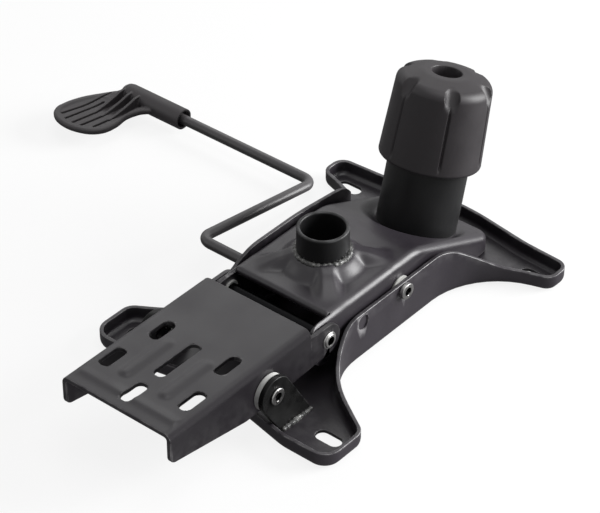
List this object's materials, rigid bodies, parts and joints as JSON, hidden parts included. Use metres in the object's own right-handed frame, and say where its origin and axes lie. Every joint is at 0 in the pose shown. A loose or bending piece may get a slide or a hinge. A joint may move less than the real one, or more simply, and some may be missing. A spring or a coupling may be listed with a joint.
{
  "type": "office chair tilt mechanism",
  "caption": "Steel tilt mechanism for an office chair: slotted seat plate, rocking housing with gas lift socket, reclining back bracket, spring tension knob and cranked lever.",
  "frame": {"origin": "centre of the four seat slots, on the face that meets the seat", "axes": "+Z from the seat face towards the gas lift socket, so up as the part lies on its seat face; +Y from the back bracket towards the knob, the chair's front; +X away from the lever"},
  "size_m": [0.3729, 0.3338, 0.1288],
  "materials": {
    "black_steel": "semi-matt black powder coat",
    "zinc_steel": "bright zinc plate",
    "spring_steel": "oiled spring steel",
    "pale_nylon": "plain moulded nylon",
    "dark_moulding": "fine matt texture"
  },
  "bodies": {
    "seat_plate": {"seat_plate": "black_steel", "seat_lug_left": "black_steel", "seat_lug_right": "black_steel", "link_screws": "zinc_steel", "link_washers": "pale_nylon", "link_nuts": "zinc_steel", "spring_anchor": "black_steel"},
    "housing": {"housing": "black_steel", "gas_lift_socket": "black_steel", "socket_support": "black_steel", "spring_tube": "black_steel", "tension_spring": "spring_steel", "seat_pivot_screws": "zinc_steel", "seat_pivot_nuts": "zinc_steel", "seat_pivot_washers": "pale_nylon", "back_pivot_bushes": "pale_nylon"},
    "back_bracket": {"back_bracket": "black_steel", "back_pivot_pin": "zinc_steel"},
    "tension_bolt": {"tension_bolt": "zinc_steel", "anchor_rocker": "zinc_steel"},
    "spring_seat": {"spring_seat": "zinc_steel"},
    "knob": {"tension_knob": "dark_moulding", "knob_nut": "zinc_steel"},
    "lock_bush": {"lock_bush": "pale_nylon", "lever_pin": "spring_steel"},
    "lever": {"lever_rod": "black_steel", "lever_grip": "dark_moulding"}
  },
  "joints": [
    {"name": "seat_tilt", "type": "hinge", "parent": "seat_plate", "child": "housing", "pos_m": [0, 0.0095, 0.03], "axis": [1, 0, 0], "range_deg": [0, 9]},
    {"name": "back_recline", "type": "hinge", "parent": "housing", "child": "back_bracket", "pos_m": [0, -0.0625, 0.0345], "axis": [-1, 0, 0], "range_deg": [0, 20], "stiffness_Nm_per_rad": 20, "springref_deg": -2.86},
    {"name": "tension_slide", "type": "slide", "parent": "housing", "child": "tension_bolt", "axis": [0, 0.2538, 0.9673], "range_m": [-0.0106, 0], "deforming": ["tension_spring"]},
    {"name": "spring_seat_slide", "type": "slide", "parent": "tension_bolt", "child": "spring_seat", "axis": [0, 0.2538, 0.9673], "range_m": [-0.0061, 0.0031], "deforming": ["tension_spring"]},
    {"name": "knob_turn", "type": "hinge", "parent": "spring_seat", "child": "knob", "pos_m": [0, 0.077, 0.0232], "axis": [0, 0.2538, 0.9673], "range_deg": [-1440, 720]},
    {"name": "lock_slide", "type": "slide", "parent": "housing", "child": "lock_bush", "axis": [1, 0, 0], "range_m": [-0.006, 0]},
    {"name": "height_lever", "type": "hinge", "parent": "lock_bush", "child": "lever", "pos_m": [-0.0267, -0.0305, 0.029], "axis": [0, -1, 0], "range_deg": [0, 4]}
  ],
  "couplings": [
    {"joint": "seat_tilt", "follows": "back_recline", "ratio": 0.44186},
    {"joint": "tension_slide", "follows": "back_recline", "m_per_rad": -0.029926},
    {"joint": "spring_seat_slide", "follows": "knob_turn", "m_per_rad": 0.00023873}
  ]
}
